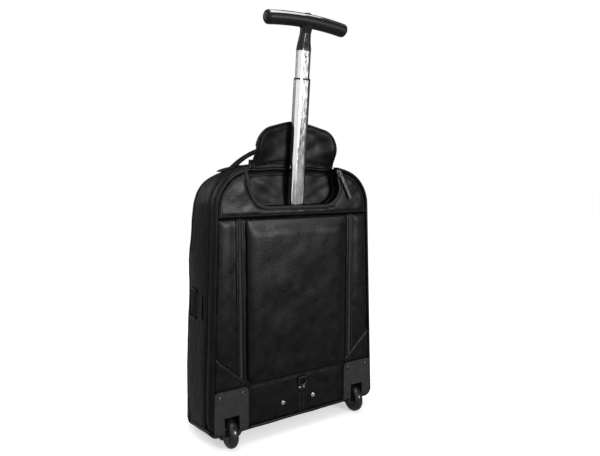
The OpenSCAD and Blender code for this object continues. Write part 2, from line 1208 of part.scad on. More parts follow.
// Front of the case, which opens forward about its lower edge
module front_lid() {
    color(leather)
        on_case()
            difference() {
                intersection() {
                    rounded_front(0);
                    translate([-200, -200, lid_z])
                        cube([400, 200 + lid_y - zip_w - 0.3, 600]);
                }
                intersection() {
                    rounded_front(wall, lid_y + 1);
                    translate([-200, -200, lid_z - 10])
                        cube([400, 400, 600]);
                }
            }
}

pocket_w = 268;
pocket_d = 17;
pocket_z0 = 76;
pocket_z1 = 336;
pocket_edge = 12;
lid_face = -case_depth - 0.03;

// A rounded block on the front of the lid, its edges curved over pocket_edge - inset
module pocket_block(inset) {
    r = pocket_edge - inset;
    steps = 3;
    curve_y = pocket_edge - pocket_d - case_depth;
    hull() {
        pocket_slab(lid_face + min(inset, 1), inset);
        pocket_slab(curve_y, inset);
    }
    for (i = [0 : steps - 1])
        hull()
            for (a = [i, i + 1] * 90 / steps)
                pocket_slab(curve_y - r * sin(a), inset + r * (1 - cos(a)));
}

module pocket_slab(y, shrink) {
    slab(y - eps, y)
        translate([0, (pocket_z0 + pocket_z1) / 2])
            rounded(pocket_w - 2 * shrink, pocket_z1 - pocket_z0 - 2 * shrink, 34 - shrink,
                $fn = 32);
}

// Flat outer pocket on the lid, open at the back where it is sewn to the lid
module front_pocket() {
    color(leather)
        on_case()
            difference() {
                pocket_block(0);
                pocket_block(2.5);
            }
}

pocket_zip_z = pocket_z1 + 38;
pocket_zip_l = 220;

module at_pocket_slider() {
    on_case()
        translate([90, lid_face - 2.02, pocket_zip_z])
            rotate([90, 0, 0])
                children();
}

// Zip across the lid above the front pocket
module pocket_zip() {
    color(lining)
        on_case()
            translate([-pocket_zip_l / 2, lid_face - 2, pocket_zip_z - 3.5])
                cube([pocket_zip_l, 2, 7]);
}

module pocket_slider() {
    color(steel)
        at_pocket_slider()
            zip_slider();
}

module pocket_pull() {
    color(steel)
        at_pocket_slider()
            zip_pull(34);
}

back_panel();
back_yoke();
back_piping();
rear_band();
rear_zip();
gusset();
base_tray();
front_feet();
trolley_cover();
handle_pocket();
side_zips();
corner_patches();
ring_strap();
strap_rivets();
bracket_screws();
foot_bracket();
guide_tube();
guide_collar();
left_housing();
right_housing();
housing_screws();
left_axle();
right_axle();
top_handle();
handle_anchors();
left_side_tab();
right_side_tab();
mouth_zip();
lid_zip();
zip_sliders();
mid_tube();
mid_collar();
mid_glide();
inner_tube();
inner_glide();
handle_neck();
handle_grip();
handle_trim();
grip_caps();
release_button();
release_rod();
left_tyre();
left_hub();
left_bearings();
right_tyre();
right_hub();
right_bearings();
handle_flap();
strap_cover();
left_ring();
right_ring();
d_ring();
front_lid();
front_pocket();
pocket_zip();
pocket_slider();
mouth_pull();
lid_pull();
rear_pull();
pocket_pull();
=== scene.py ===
"""Black leather rolling flight case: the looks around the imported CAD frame.

Shapes are worked out in millimetres, as [x, w, z]. w is the depth from the back panel's outer
face (w = 0), negative towards the front. A plain line has points [x, z] in the back face.
"""

import math

import bpy
import numpy as np
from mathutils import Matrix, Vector
from mathutils.kdtree import KDTree


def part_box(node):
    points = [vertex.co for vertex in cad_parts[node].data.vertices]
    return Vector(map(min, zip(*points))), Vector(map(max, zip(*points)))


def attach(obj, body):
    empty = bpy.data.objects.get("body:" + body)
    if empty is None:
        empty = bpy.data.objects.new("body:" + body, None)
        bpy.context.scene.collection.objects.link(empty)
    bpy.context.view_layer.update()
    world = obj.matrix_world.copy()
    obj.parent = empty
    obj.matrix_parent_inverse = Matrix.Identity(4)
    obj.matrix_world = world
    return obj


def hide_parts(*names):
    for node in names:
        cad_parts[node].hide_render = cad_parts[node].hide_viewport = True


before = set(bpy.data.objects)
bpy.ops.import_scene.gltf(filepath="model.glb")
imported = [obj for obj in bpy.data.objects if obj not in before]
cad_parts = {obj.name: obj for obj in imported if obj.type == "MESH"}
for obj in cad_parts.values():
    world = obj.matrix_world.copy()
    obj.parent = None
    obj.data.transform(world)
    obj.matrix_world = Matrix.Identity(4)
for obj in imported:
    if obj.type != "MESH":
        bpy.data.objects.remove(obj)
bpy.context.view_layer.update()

MM = 0.001
BACK_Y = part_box("back_panel")[1].y / MM
D = math.radians
BACKWARD = (0, 1, 0)
ACROSS = (1, 0, 0)

# ---- Sizes that the soft pieces share with the frame ----

# The arched outline: its width at 94 mm, its taper, and its shoulders and crown.
CASE_W, TAPER, SHOULDER_Z, CORNER_R, CROWN = 330, D(2.2), 402, 68, D(13.6)
# From back to front: the depth, the round front edge, and the bottom's height at each end.
DEPTH, FRONT_R, BASE_BACK_Z, BASE_FRONT_Z = 138, 28, 28, 6
# The back: the cross seam, the mouth of the handle pocket, and the strap cover.
SEAM_Z, MOUTH_HALF, MOUTH_Z, MOUTH_R, MOUTH_LEAN = 388, 90, 405, 34, 8
COVER_HALF, COVER_Z0, COVER_Z1 = 101, 107, 386
# The sides: where the gusset starts and ends, the zips beside it, and what is sewn to it.
GUSSET_W, LID_W, LID_Z = -30, -106, 62
REAR_ZIP_W, LID_ZIP_W, LID_RIM_W = -27, -108.2, -110.3
TAB_W, TAB_Z, HANDLE_W = -72, 212, -70
# The pole leans back, and the flap and the lining board lean with it.
LEAN = D(6)
POLE_AT = np.array([0, -15, 407])
FLAP_AT, FLAP_HALF, FLAP_H = np.array([-4.0, -20.8, 483.0]), 83, 67
# The wells of the wheel housings.
WHEEL_X, WELL_HALF, WELL_FRONT_W, WELL_TOP_Z = 130.5, 17.5, -39, 62


def half_w(z):
    """Half of the case's width at the height z."""
    return CASE_W / 2 - (z - 94) * math.tan(TAPER)


CORNER_X = half_w(SHOULDER_Z + CORNER_R * math.sin(TAPER)) - CORNER_R * math.cos(TAPER)
CROWN_R = (CORNER_X + CORNER_R * math.sin(CROWN)) / math.sin(CROWN)
CROWN_Z = SHOULDER_Z + CORNER_R * math.cos(CROWN) - CROWN_R * math.cos(CROWN)


# ---- Small tools ----


def smooth(x, a, b):
    """0 before a, 1 after b, and smooth between them. a may be the larger one."""
    t = np.clip((np.asarray(x, float) - a) / (b - a), 0, 1)
    return t * t * (3 - 2 * t)


def bell(x, centre, width):
    """1 at the centre, falling to nothing a few widths away."""
    return np.exp(-(((np.asarray(x, float) - centre) / width) ** 2))


def ripple(p, size, seed):
    """Smooth unevenness from about -1 to 1, with waves of about that size."""
    rng = np.random.default_rng(seed)
    p = np.asarray(p, float)
    total = np.zeros(len(p))
    for _ in range(7):
        k = rng.normal(size=p.shape[1])
        k *= rng.uniform(0.6, 1.5) * 2 * math.pi / size / np.linalg.norm(k)
        total += np.sin(p @ k + rng.uniform(0, 2 * math.pi))
    return total / 3.2


def arc(x, z, r, start, end, n):
    """n points of an arc about [x, z], between two angles in degrees."""
    a = np.radians(np.linspace(start, end, n))
    return np.stack([x + r * np.cos(a), z + r * np.sin(a)], 1)


def run_of(line):
    """The distance of each point from the start of a line."""
    return np.concatenate([[0], np.cumsum(np.linalg.norm(np.diff(line, axis=0), axis=1))])


def resample(line, n, closed=False):
    """n points at even distances along a line."""
    line = np.asarray(line, float)
    if closed:
        line = np.vstack([line, line[:1]])
    run = run_of(line)
    at = np.linspace(0, run[-1], n, endpoint=not closed)
    return np.stack([np.interp(at, run, line[:, i]) for i in range(line.shape[1])], 1)


def every(line, step, closed=False):
    """Points about step apart along a line."""
    line = np.asarray(line, float)
    length = run_of(np.vstack([line, line[:1]]) if closed else line)[-1]
    return resample(line, max(3, round(length / step)), closed)


def smoothed(points, n):
    """A smooth curve through a few points."""
    points = np.asarray(points, float)
    for _ in range(3):
        mid = np.repeat(points, 2, axis=0)
        mid = mid[1:-1] * 0.75 + mid[1:-1].reshape(-1, 2, points.shape[1])[:, ::-1].reshape(
            -1, points.shape[1]) * 0.25
        points = np.vstack([points[:1], mid, points[-1:]])
    return resample(points, n)


def tangents(path, closed=False):
    """The direction of a line at each of its points."""
    if closed:
        t = np.roll(path, -1, 0) - np.roll(path, 1, 0)
    else:
        t = np.gradient(path, axis=0)
    return t / np.maximum(np.linalg.norm(t, axis=1), 1e-9)[:, None]


# ---- Outlines of the case ----


def floor_z(w):
    """Height of the bottom at depth w: a slope, then the round front edge."""
    if w > FRONT_R - DEPTH:
        return BASE_BACK_Z + w * (BASE_BACK_Z - BASE_FRONT_Z) / (DEPTH - FRONT_R)
    drop = max(FRONT_R**2 - (w + DEPTH - FRONT_R) ** 2, 0)
    return BASE_FRONT_Z + FRONT_R - math.sqrt(drop)


def front_inset(w):
    """How far the round front edge has pulled the sides in at depth w."""
    if w > FRONT_R - DEPTH:
        return 0.0
    return FRONT_R - math.sqrt(max(FRONT_R**2 - (w + DEPTH - FRONT_R) ** 2, 0))


def outline(inset, bottom=BASE_BACK_Z, r=12.0):
    """The arched outline as a closed line of [x, z], clockwise from the top."""
    side = half_w(bottom + r) - inset / math.cos(TAPER)
    taper, crown = math.degrees(TAPER), math.degrees(CROWN)
    right = np.vstack([
        arc(0, CROWN_Z, CROWN_R - inset, 90, 90 - crown, 40),
        arc(CORNER_X, SHOULDER_Z, CORNER_R - inset, 90 - crown, taper, 40)[1:],
        arc(side - r, bottom + r, r, taper, -90, 14),
        [[0, bottom]],
    ])
    return np.vstack([right, right[-2:0:-1] * [-1, 1]])


def side_run(inset, bottom, top_x, low_z, n, r=12.0):
    """The right side of an outline, from x = top_x on the top down to the height low_z."""
    ring = outline(inset, bottom, r)
    right = ring[: len(ring) // 2 + 1]
    run = run_of(right)
    side = int(np.argmax(right[:, 0]))
    start = np.interp(top_x, right[:side, 0], run[:side])
    down = slice(side - 2, len(right))
    end = np.interp(-low_z, -right[down, 1], run[down])
    at = np.linspace(start, end, n)
    return np.stack([np.interp(at, run, right[:, i]) for i in (0, 1)], 1)


def upper(inset, bottom, low_z, n, r=12.0):
    """The outline above low_z, from the left side over the top to the right side."""
    right = side_run(inset, bottom, 0, low_z, n // 2 + 1, r)
    return np.vstack([right[:0:-1] * [-1, 1], right])


def lower(inset, bottom, low_z, n, r=12.0):
    """The outline below low_z, from the right side under the bottom to the left side."""
    ring = outline(inset, bottom, r)
    right = ring[: len(ring) // 2 + 1]
    run = run_of(right)
    side = int(np.argmax(right[:, 0])) - 2
    start = np.interp(-low_z, -right[side:, 1], run[side:])
    at = np.linspace(start, run[-1], n // 2 + 1)
    half = np.stack([np.interp(at, run, right[:, i]) for i in (0, 1)], 1)
    return np.vstack([half, half[-2::-1] * [-1, 1]])


def mouth(grow, top=520.0):
    """The U-shaped mouth of the handle pocket as a line, open at the top."""
    x, z = MOUTH_HALF - MOUTH_R, MOUTH_Z + MOUTH_R
    arms = np.linspace(top, z + 2, 16)
    line = np.vstack([
        np.stack([np.full(16, MOUTH_HALF + grow), arms], 1),
        arc(x, z, MOUTH_R + grow, 0, -90, 20),
        arc(-x, z, MOUTH_R + grow, -90, -180, 20),
        np.stack([np.full(16, -MOUTH_HALF - grow), arms[::-1]], 1),
    ])
    line[:, 0] += MOUTH_LEAN * smooth(line[:, 1], 425, 470)
    return line


def rounded_box(half_x, z0, z1, r_low, r_top):
    """A closed line of [x, z]: a box with one radius below and another above."""
    return np.vstack([
        arc(half_x - r_low, z0 + r_low, r_low, -90, 0, 10),
        arc(half_x - r_top, z1 - r_top, r_top, 0, 90, 10),
        arc(r_top - half_x, z1 - r_top, r_top, 90, 180, 10),
        arc(r_low - half_x, z0 + r_low, r_low, 180, 270, 10),
    ])


# ---- Materials ----


def new_material(name, color, rough, **inputs):
    """A new material and its shader. More shader sockets are set by name."""
    mat = bpy.data.materials.new(name)
    mat.use_nodes = True
    shader = mat.node_tree.nodes["Principled BSDF"]
    shader.inputs["Base Color"].default_value = (*color, 1)
    shader.inputs["Roughness"].default_value = rough
    for key, value in inputs.items():
        shader.inputs[key.replace("_", " ")].default_value = value
    return mat, shader


def node(mat, kind, **values):
    """A new shader node with its properties or sockets set by name."""
    made = mat.node_tree.nodes.new(kind)
    for key, value in values.items():
        if hasattr(made, key):
            setattr(made, key, value)
        else:
            made.inputs[key.replace("_", " ")].default_value = value
    return made


def object_coords(mat, stretch=(1, 1, 1), turn=(0, 0, 0)):
    """Coordinates that stay with the object, stretched and turned."""
    tree = mat.node_tree
    coords = node(mat, "ShaderNodeTexCoord")
    mapping = node(mat, "ShaderNodeMapping", Scale=stretch, Rotation=turn)
    tree.links.new(coords.outputs["Object"], mapping.inputs["Vector"])
    return mapping.outputs["Vector"]


def vary(mat, shader, socket, low, high, scale, coords, detail=3.0):
    """Noise that moves a colour or a value between low and high."""
    tree = mat.node_tree
    noise = node(mat, "ShaderNodeTexNoise", Scale=scale, Detail=detail)
    tree.links.new(coords, noise.inputs["Vector"])
    if isinstance(low, tuple):
        ramp = node(mat, "ShaderNodeValToRGB")
        ramp.color_ramp.elements[0].position = 0.35
        ramp.color_ramp.elements[1].position = 0.65
        ramp.color_ramp.elements[0].color = (*low, 1)
        ramp.color_ramp.elements[1].color = (*high, 1)
        tree.links.new(noise.outputs["Fac"], ramp.inputs["Fac"])
        tree.links.new(ramp.outputs["Color"], shader.inputs[socket])
    else:
        span = node(mat, "ShaderNodeMapRange", From_Min=0.3, From_Max=0.7, To_Min=low, To_Max=high)
        tree.links.new(noise.outputs["Fac"], span.inputs["Value"])
        tree.links.new(span.outputs["Result"], shader.inputs[socket])


def bumps(mat, shader, layers):
    """Stacks height layers into the normal: height output, strength, distance in metres."""
    tree, normal = mat.node_tree, None
    for height, strength, distance in layers:
        bump = node(mat, "ShaderNodeBump", Strength=strength, Distance=distance)
        tree.links.new(height, bump.inputs["Height"])
        if normal is not None:
            tree.links.new(normal, bump.inputs["Normal"])
        normal = bump.outputs["Normal"]
    tree.links.new(normal, shader.inputs["Normal"])


def noise_height(mat, coords, scale, detail):
    """A height from noise. scale is the number of waves in a metre."""
    noise = node(mat, "ShaderNodeTexNoise", Scale=scale, Detail=detail)
    mat.node_tree.links.new(coords, noise.inputs["Vector"])
    return noise.outputs["Fac"]


def wave_height(mat, coords, scale, direction):
    """A height from bands across one direction."""
    wave = node(mat, "ShaderNodeTexWave", bands_direction=direction, Scale=scale, Distortion=0.6)
    mat.node_tree.links.new(coords, wave.inputs["Vector"])
    return wave.outputs["Fac"]


def leather(name, dark, light, rough, grain=1.0):
    """Leather: broad soft creases, a grain of about 2 mm, and finer pores."""
    mat, shader = new_material(name, dark, rough, Specular_IOR_Level=0.12)
    at = object_coords(mat)
    vary(mat, shader, "Base Color", dark, light, 60, at, 6)
    vary(mat, shader, "Roughness", rough - 0.05, rough + 0.08, 90, at, 5)
    bumps(mat, shader, [
        (noise_height(mat, at, 30, 2), 0.02, 0.004),
        (noise_height(mat, at, 420, 2), 0.3 * grain, 0.0011),
        (noise_height(mat, at, 1100, 2), 0.3 * grain, 0.0006),
    ])
    return mat


def cloth(name, dark, light, pitch, rough, sheen):
    """Woven fabric: two crossed sets of threads."""
    mat, shader = new_material(name, dark, rough, Sheen_Weight=sheen, Sheen_Roughness=0.4)
    at = object_coords(mat)
    vary(mat, shader, "Base Color", dark, light, 120, at, 5)
    bumps(mat, shader, [
        (noise_height(mat, at, 40, 3), 0.3, 0.003),
        (wave_height(mat, at, pitch, "X"), 0.35, 0.0004),
        (wave_height(mat, at, pitch, "Z"), 0.35, 0.0004),
    ])
    return mat


def moulded(name, dark, light, rough, texture=0.25, **inputs):
    """Moulded plastic or rubber with a fine eroded texture."""
    mat, shader = new_material(name, dark, rough, **inputs)
    at = object_coords(mat)
    vary(mat, shader, "Base Color", dark, light, 150, at, 5)
    vary(mat, shader, "Roughness", rough - 0.05, rough + 0.07, 200, at, 4)
    bumps(mat, shader, [(noise_height(mat, at, 1800, 3), texture, 0.0003)])
    return mat


def metal(name, dark, light, rough, stretch, turn=(0, 0, 0), brush=0.12):
    """Metal with a fine texture, which a low third value of stretch draws out into streaks."""
    mat, shader = new_material(name, light, rough, Metallic=1.0)
    at = object_coords(mat, stretch, turn)
    vary(mat, shader, "Base Color", dark, light, 1, at, 3)
    vary(mat, shader, "Roughness", rough - 0.05, rough + 0.08, 1.3, at, 3)
    bumps(mat, shader, [(noise_height(mat, at, 1.0, 2), brush, 0.0003)])
    return mat


LEATHER = leather("case_leather", (0.002, 0.002, 0.0021), (0.004, 0.004, 0.0042), 0.31)
TRIM_LEATHER = leather("trim_leather", (0.002, 0.002, 0.0021), (0.0042, 0.0042, 0.0044), 0.31, 0.6)
POCKET = leather("pocket_leather", (0.001, 0.001, 0.0011), (0.002, 0.002, 0.0021), 0.45, 0.4)
LINING = cloth("lining", (0.0025, 0.0025, 0.0026), (0.005, 0.005, 0.0052), 1400, 0.75, 0.08)
TAPE = cloth("zip_tape", (0.0025, 0.0025, 0.0026), (0.006, 0.006, 0.0063), 2400, 0.7, 0.04)
THREAD = moulded("thread", (0.008, 0.008, 0.0085), (0.016, 0.016, 0.017), 0.5)
TEETH = metal("zip_teeth", (0.025, 0.025, 0.027), (0.06, 0.06, 0.062), 0.42, (900, 900, 900))
PLASTIC = moulded("plastic", (0.009, 0.009, 0.0095), (0.014, 0.014, 0.0147), 0.42, 0.3,
                  Specular_IOR_Level=0.25)
GLOSSY = moulded("glossy_plastic", (0.004, 0.004, 0.0042), (0.008, 0.008, 0.0084), 0.2, 0.06,
                 Specular_IOR_Level=0.3)
WHEEL = moulded("wheel", (0.006, 0.006, 0.0063), (0.012, 0.012, 0.0126), 0.22, 0.1,
               Specular_IOR_Level=0.35)
RUBBER = moulded("grip_rubber", (0.003, 0.003, 0.0032), (0.006, 0.006, 0.0063), 0.4, 0.35,
                 Specular_IOR_Level=0.15)
TUBE = metal("tube", (0.72, 0.73, 0.75), (0.84, 0.85, 0.87), 0.13, (700, 700, 9), (-LEAN, 0, 0),
             0.02)
CHROME = metal("chrome", (0.78, 0.77, 0.77), (0.9, 0.89, 0.89), 0.1, (60, 60, 60), brush=0.02)
STEEL = metal("dark_nickel", (0.06, 0.06, 0.06), (0.15, 0.15, 0.153), 0.28, (300, 300, 300))

CAD_MATERIALS = {
    "front_feet": PLASTIC, "foot_bracket": PLASTIC, "guide_collar": GLOSSY,
    "left_housing": PLASTIC, "right_housing": PLASTIC, "mid_collar": GLOSSY,
    "mid_glide": PLASTIC, "inner_glide": PLASTIC, "handle_neck": GLOSSY,
    "left_hub": GLOSSY, "right_hub": GLOSSY, "left_ring": GLOSSY, "right_ring": GLOSSY,
    "d_ring": GLOSSY, "handle_grip": RUBBER, "grip_caps": RUBBER, "release_button": RUBBER,
    "guide_tube": TUBE, "mid_tube": TUBE, "inner_tube": TUBE, "release_rod": STEEL,
    "handle_trim": CHROME, "strap_rivets": CHROME, "bracket_screws": CHROME,
    "housing_screws": STEEL, "left_axle": STEEL, "right_axle": STEEL,
    "left_bearings": STEEL, "right_bearings": STEEL, "zip_sliders": STEEL,
    "pocket_slider": STEEL, "mouth_pull": STEEL, "lid_pull": STEEL, "rear_pull": STEEL,
    "pocket_pull": STEEL,
    "left_tyre": WHEEL, "right_tyre": WHEEL,
}
for cad_name, mat in CAD_MATERIALS.items():
    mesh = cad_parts[cad_name].data
    mesh.materials.clear()
    mesh.materials.append(mat)


# ---- Making pieces ----

STITCH_PITCH = 3.4


class Build:
    """Vertices and faces in millimetres, as [x, w, z]."""

    def __init__(self):
        self.points, self.faces, self.count = [], [], 0

    def add(self, points, faces):
        self.points.append(np.asarray(points, float))
        self.faces += [tuple(i + self.count for i in f) for f in faces]
        self.count += len(points)
        return self

    def mirrored(self):
        """Adds the same again on the other side of the case."""
        points = np.vstack(self.points)
        flipped = [f[::-1] for f in self.faces]
        return self.add(points * [-1, 1, 1], flipped)

    def turned(self):
        """Turns every face over."""
        self.faces = [f[::-1] for f in self.faces]
        return self

    def piece(self, name, mats, body, slot, *nodes, thick=0.0):
        """Makes the Blender object. It rides on body and stands for the named nodes."""
        points = np.vstack(self.points) + [0, BACK_Y, 0]
        mesh = bpy.data.meshes.new(name)
        mesh.from_pydata((points * MM).tolist(), [], self.faces)
        mesh.update()
        mesh.shade_smooth()
        obj = bpy.data.objects.new(name, mesh)
        bpy.context.scene.collection.objects.link(obj)
        for m in mats if isinstance(mats, (list, tuple)) else [mats]:
            mesh.materials.append(m)
        if thick:
            solid = obj.modifiers.new("Thickness", "SOLIDIFY")
            solid.thickness, solid.offset = thick * MM, -1
            if len(mesh.materials) > 1:
                solid.material_offset = 1
        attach(obj, body)
        if nodes:
            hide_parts(*nodes)
        return obj


def loft(rings, closed=False, ends=False, fill=False):
    """Joins lines of equal length, each (n, 3), into one surface. fill closes the last one."""
    m, n = len(rings), len(rings[0])
    faces = [
        (i * n + j, i * n + (j + 1) % n, (i + 1) * n + (j + 1) % n, (i + 1) * n + j)
        for i in range(m - 1) for j in range(n if closed else n - 1)
    ]
    if ends:
        faces.append(tuple(range(n))[::-1])
    if ends or fill:
        faces.append(tuple(range((m - 1) * n, m * n)))
    return np.vstack(rings), faces


def sweep(path, section, side, closed=False):
    """Carries a closed section [across, up] along a path. side is the across direction."""
    path = np.asarray(path, float)
    t = tangents(path, closed)
    side = np.broadcast_to(np.asarray(side, float), path.shape)
    up = np.cross(t, side)
    up /= np.linalg.norm(up, axis=1)[:, None]
    side = np.cross(up, t)
    if callable(section):
        sections = [section(k) for k in np.linspace(0, 1, len(path))]
    else:
        sections = [section] * len(path)
    rings = [p + s[:, :1] * a + s[:, 1:] * b for p, s, a, b in zip(path, sections, side, up)]
    if closed:
        rings.append(rings[0])
    return loft(rings, closed=True, ends=not closed)


def oval(width, height, power=2.0, n=12):
    """A rounded section: power 2 is an ellipse and more is squarer."""
    a = np.linspace(0, 2 * math.pi, n, endpoint=False)
    c, s = np.cos(a), np.sin(a)
    return np.stack([
        np.sign(c) * np.abs(c) ** (2 / power) * width / 2,
        np.sign(s) * np.abs(s) ** (2 / power) * height / 2,
    ], 1)


def spindles(centres, along, up, length, thick, flat):
    """Small six-sided rods with rounded ends, one at each centre: stitches and zip teeth."""
    centres, along = np.asarray(centres, float), np.asarray(along, float)
    along = np.broadcast_to(along, centres.shape)
    along = along / np.linalg.norm(along, axis=1)[:, None]
    up = np.broadcast_to(np.asarray(up, float), centres.shape)
    side = np.cross(along, up)
    side /= np.maximum(np.linalg.norm(side, axis=1), 1e-9)[:, None]
    up = np.cross(side, along)
    a = np.arange(6) * math.pi / 3
    points, faces = [], []
    for x, r in ((-0.5, 0.45), (-0.34, 0.95), (0.34, 0.95), (0.5, 0.45)):
        for k in a:
            points.append(centres + along * x * length
                          + side * math.cos(k) * r * thick / 2
                          + up * math.sin(k) * r * thick * flat / 2)
    points = np.stack(points, 1)
    one = [(i * 6 + j, i * 6 + (j + 1) % 6, (i + 1) * 6 + (j + 1) % 6, (i + 1) * 6 + j)
           for i in range(3) for j in range(6)]
    one += [tuple(range(5, -1, -1)), tuple(range(18, 24))]
    for k in range(len(centres)):
        faces += [tuple(i + k * 24 for i in f) for f in one]
    return points.reshape(-1, 3), faces


def stitches(line, up, pitch=STITCH_PITCH, length=2.3):
    """A row of stitches along a line."""
    points = every(line, pitch)
    return spindles(points, tangents(points), up, length, 0.75, 0.7)


def teeth(line, up, pitch):
    """Two rows of teeth that meet in the middle of a zip."""
    points = every(line, pitch)
    t = tangents(points)
    up = np.broadcast_to(np.asarray(up, float), points.shape)
    side = np.cross(t, up)
    shift = np.where(np.arange(len(points)) % 2, 0.55, -0.55)[:, None]
    return spindles(points + side * shift, side, up, 3.0, 1.25, 0.9)


def inside(points, loop):
    """Which points lie inside a closed line."""
    x, z = points[:, 0], points[:, 1]
    a, b = loop, np.roll(loop, -1, 0)
    found = np.zeros(len(points), bool)
    for (x0, z0), (x1, z1) in zip(a, b):
        if z0 != z1:
            crosses = ((z0 > z) != (z1 > z)) & (x < (x1 - x0) * (z - z0) / (z1 - z0) + x0)
            found ^= crosses
    return found


def patch(within, without, step):
    """An even grid over a flat region. Returns [x, z], faces and the distance to the edge."""
    def holds(p, skip=None):
        ok = np.ones(len(p), bool)
        for loop in within:
            if loop is not skip:
                ok &= inside(p, loop)
        for loop in without:
            if loop is not skip:
                ok &= ~inside(p, loop)
        return ok

    edge = []
    for loop in [*within, *without]:
        fine = every(loop, 0.5, closed=True)
        edge.append(fine[holds(fine, skip=loop)])
    edge = np.vstack(edge)
    low, high = edge.min(0), edge.max(0)
    count = np.maximum(np.ceil((high - low) / step).astype(int), 2)
    xs, zs = (np.linspace(low[i], high[i], count[i] + 1) for i in (0, 1))
    grid = np.stack(np.meshgrid(xs, zs, indexing="ij"), -1)
    middles = (grid[:-1, :-1] + grid[1:, 1:]) / 2
    keep = holds(middles.reshape(-1, 2)).reshape(middles.shape[:2])
    uses = np.zeros(grid.shape[:2], int)
    for i, j in ((0, 0), (0, 1), (1, 0), (1, 1)):
        uses[i:i + keep.shape[0], j:j + keep.shape[1]] += keep
    number = np.full(grid.shape[:2], -1)
    number[uses > 0] = np.arange((uses > 0).sum())
    points, on_edge = grid[uses > 0], uses[uses > 0] < 4
    tree = KDTree(len(edge))
    for i, p in enumerate(edge):
        tree.insert((p[0], p[1], 0), i)
    tree.balance()
    distance = np.zeros(len(points))
    for i, p in enumerate(points):
        found, _, d = tree.find((p[0], p[1], 0))
        if on_edge[i]:
            points[i] = found[0], found[1]
        else:
            distance[i] = d
    faces = [
        (number[i, j], number[i, j + 1], number[i + 1, j + 1], number[i + 1, j])
        for i, j in zip(*np.nonzero(keep))
    ]
    return points, faces, distance


def domed(distance, reach):
    """0 at an edge, rising in a quarter circle to 1 at that distance from it."""
    t = 1 - np.clip(distance / reach, 0, 1)
    return np.sqrt(np.maximum(1 - t * t, 0))


def at_depth(points, w):
    """[x, z] points at depth w as [x, w, z]."""
    w = np.broadcast_to(np.asarray(w, float), len(points))
    return np.stack([points[:, 0], w, points[:, 1]], 1)


def swell(p):
    """How far the soft shell stands out at the points [x, w, z] of its sides."""
    x, w, z = p.T
    deep = np.sin(math.pi * np.clip((-w - 30) / 108, 0, 1))
    by_side = 2.8 * smooth(z, 25, 110) * smooth(z, 400, 300) * (1 - 0.95 * bell(z, 237, 42))
    sag = 2.4 * smooth(z, 300, 360) + 4.2 * smooth(z, 375, 425)
    sag = sag * smooth(np.abs(x), 50, 115) * smooth(-w, 40, 112)
    return deep * by_side - sag + 0.45 * ripple(p, 70, 3) + 0.2 * ripple(p, 26, 4)


def outward(line):
    """Normals of a clockwise line of [x, z], pointing out of the case."""
    t = tangents(line)
    return np.stack([-t[:, 1], t[:, 0]], 1)


def outward_w(line):
    """The same normals as [x, w, z]."""
    return at_depth(outward(line), 0)


def shell_ring(line, w, rise):
    """A line of an outline at depth w, pushed out by rise and by the shell's own swell."""
    push = swell(at_depth(line, w)) + rise
    return at_depth(line + outward(line) * push[:, None], w)


# ---- Back of the case ----


def seam_dip(distance, at, depth, width=1.4):
    """The dip that a seam draws into soft leather, at that distance from the edge."""
    return -depth * bell(distance, at, width)


WELL = np.array([[-18.5, 0], [18.5, 0], [18.5, WELL_TOP_Z], [-18.5, WELL_TOP_Z]]) + [WHEEL_X, 0]
WELLS = [WELL, WELL * [-1, 1]]


def patch_line(x):
    """Height of the slanting top edge of the corner patches."""
    return 120 + (x - 109) * 0.89


def make_back_panel():
    loop = lower(4.4, BASE_BACK_Z + 3, SEAM_Z - 0.4, 240)
    xz, faces, d = patch([loop], WELLS, 3.0)
    x, z = xz.T
    w = -1.4 + 1.6 * domed(d, 9)
    w += 1.3 * smooth(np.abs(x), 120, 132) * smooth(d, 2, 12) * smooth(z, 150, 190)
    w += 1.2 * smooth(d, 2, 14) * smooth(z, 104, 96) * smooth(np.abs(x), 97, 90)
    w += (0.35 * ripple(xz, 60, 11) + 0.15 * ripple(xz, 22, 12)) * smooth(d, 0, 10)
    Build().add(at_depth(xz, w), faces).piece(
        "back_panel_leather", [LEATHER, LINING], "case", "leather", "back_panel", thick=2)


def make_yoke():
    loop = upper(4.4, BASE_BACK_Z, SEAM_Z + 0.4, 240)
    xz, faces, d = patch([loop], [mouth(1.0)], 2.6)
    x, z = xz.T
    w = -1.4 + 3.2 * domed(d, 11) + seam_dip(d, 5.5, 0.6)
    w += 0.5 * ripple(xz, 55, 21) * smooth(d, 0, 12) + 0.22 * ripple(xz, 20, 22)
    w += 0.7 * bell(z, 398, 6) * smooth(np.abs(x), 120, 60)
    Build().add(at_depth(xz, w), faces).piece(
        "yoke_leather", [LEATHER, LINING], "case", "leather", "back_yoke", thick=2)


def make_piping():
    """The cord round the back, the lip beside it, and the cord along the bottom."""
    made = Build()
    for inset, w, size in ((2.4, 0.6, (4.6, 4.6)), (3.4, -1.2, (4.5, 3.0))):
        line = side_run(inset, BASE_BACK_Z, 91, 40, 160)
        made.add(*sweep(at_depth(line, w), oval(*size), BACKWARD))
    made.mirrored()
    bottom = np.stack([np.linspace(98.5, -98.5, 70), np.full(70, BASE_BACK_Z + 2.2)], 1)
    made.add(*sweep(at_depth(bottom, 0.4), oval(4.6, 4.6), BACKWARD))
    made.piece("back_piping_cord", TRIM_LEATHER, "case", "leather", "back_piping")


# The padded ridge round the edge: depth w, and how far it stands out there.
BAND_PROFILE = [
    (-1.0, -2.6), (-2.4, -0.2), (-4.5, 1.1), (-8, 2.2), (-12, 2.6), (-16, 2.3), (-18.6, 1.4),
    (-19.8, 0.3), (-21.0, 0.4), (-22.6, -0.8), (-23.6, -3.2),
]


